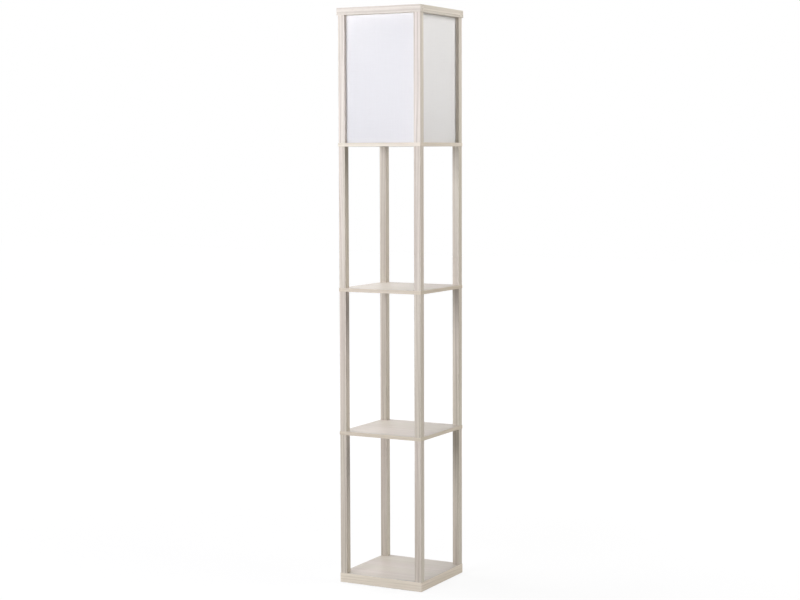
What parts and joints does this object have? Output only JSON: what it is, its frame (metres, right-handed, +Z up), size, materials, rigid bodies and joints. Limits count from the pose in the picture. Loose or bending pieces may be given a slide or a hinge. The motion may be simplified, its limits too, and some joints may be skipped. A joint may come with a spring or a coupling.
{
  "type": "shelf floor lamp",
  "caption": "Square floor lamp with open shelves under a lantern shade of flat white panels between corner posts, and a bulb that unscrews.",
  "frame": {"origin": "on the floor, under the centre of the square base", "axes": "+Z up, -Y the front, +X the right-hand side; the three bays are alike from all four sides"},
  "size_m": [0.26, 0.26, 1.6],
  "materials": {
    "oak_board": "washed oak effect foil with a fine straight grain, matt",
    "oak_post": "washed oak effect foil with the grain along the post, matt",
    "oak_rail": "washed oak effect foil with the grain along the rail, matt",
    "felt": "dense needled felt",
    "zinc_steel": "bright zinc plate",
    "beech": "bare turned beech",
    "shade_fabric": "fine white weave bonded to a stiff sheet",
    "soft_rubber": "moulded rubber",
    "holder_plastic": "moulded white thermoset",
    "brass": "stamped brass",
    "nickel_plate": "nickel plate",
    "black_glass": "black insulating glass",
    "bulb_plastic": "satin white",
    "opal_plastic": "opal diffuser",
    "aluminium_board": "white-coated aluminium",
    "circuit_board": "green laminate"
  },
  "bodies": {
    "frame": {"base_board": "oak_board", "lower_shelf": "oak_board", "upper_shelf": "oak_board", "lamp_deck": "oak_board", "lower_post_front_left": "oak_post", "lower_post_front_right": "oak_post", "lower_post_back_left": "oak_post", "lower_post_back_right": "oak_post", "middle_post_front_left": "oak_post", "middle_post_front_right": "oak_post", "middle_post_back_left": "oak_post", "middle_post_back_right": "oak_post", "upper_post_front_left": "oak_post", "upper_post_front_right": "oak_post", "upper_post_back_left": "oak_post", "upper_post_back_right": "oak_post", "shade_post_front_left": "oak_post", "shade_post_front_right": "oak_post", "shade_post_back_left": "oak_post", "shade_post_back_right": "oak_post", "top_rail_front": "oak_rail", "top_rail_back": "oak_rail", "top_rail_left": "oak_rail", "top_rail_right": "oak_rail", "foot_pads": "felt", "lower_post_inserts": "zinc_steel", "middle_post_inserts": "zinc_steel", "upper_post_inserts": "zinc_steel", "shade_post_inserts": "zinc_steel", "lower_shelf_studs": "zinc_steel", "upper_shelf_studs": "zinc_steel", "deck_studs": "zinc_steel", "base_screws": "zinc_steel", "top_screws": "zinc_steel", "holder_screws": "zinc_steel", "terminal_screws": "zinc_steel", "rail_dowels": "beech", "shade_panel_front": "shade_fabric", "shade_panel_back": "shade_fabric", "shade_panel_left": "shade_fabric", "shade_panel_right": "shade_fabric", "cable_grommet": "soft_rubber", "holder_base": "holder_plastic", "holder_skirt": "holder_plastic", "screw_shell": "brass", "centre_contact": "brass", "shell_contact": "brass"},
    "bulb_carrier": {"bulb_tip": "nickel_plate", "bulb_insulator": "black_glass"},
    "bulb": {"bulb_cap": "nickel_plate", "bulb_housing": "bulb_plastic", "driver_board": "circuit_board", "led_board": "aluminium_board", "bulb_globe": "opal_plastic"}
  },
  "joints": [
    {"name": "bulb_rise", "type": "slide", "parent": "frame", "child": "bulb_carrier", "axis": [0, 0, 1], "range_m": [0, 0.01814]},
    {"name": "bulb_turn", "type": "hinge", "parent": "bulb_carrier", "child": "bulb", "pos_m": [0, 0, 1.28], "axis": [0, 0, 1], "range_deg": [0, 1800]}
  ],
  "couplings": [
    {"joint": "bulb_rise", "follows": "bulb_turn", "m_per_rad": 0.0005775}
  ]
}
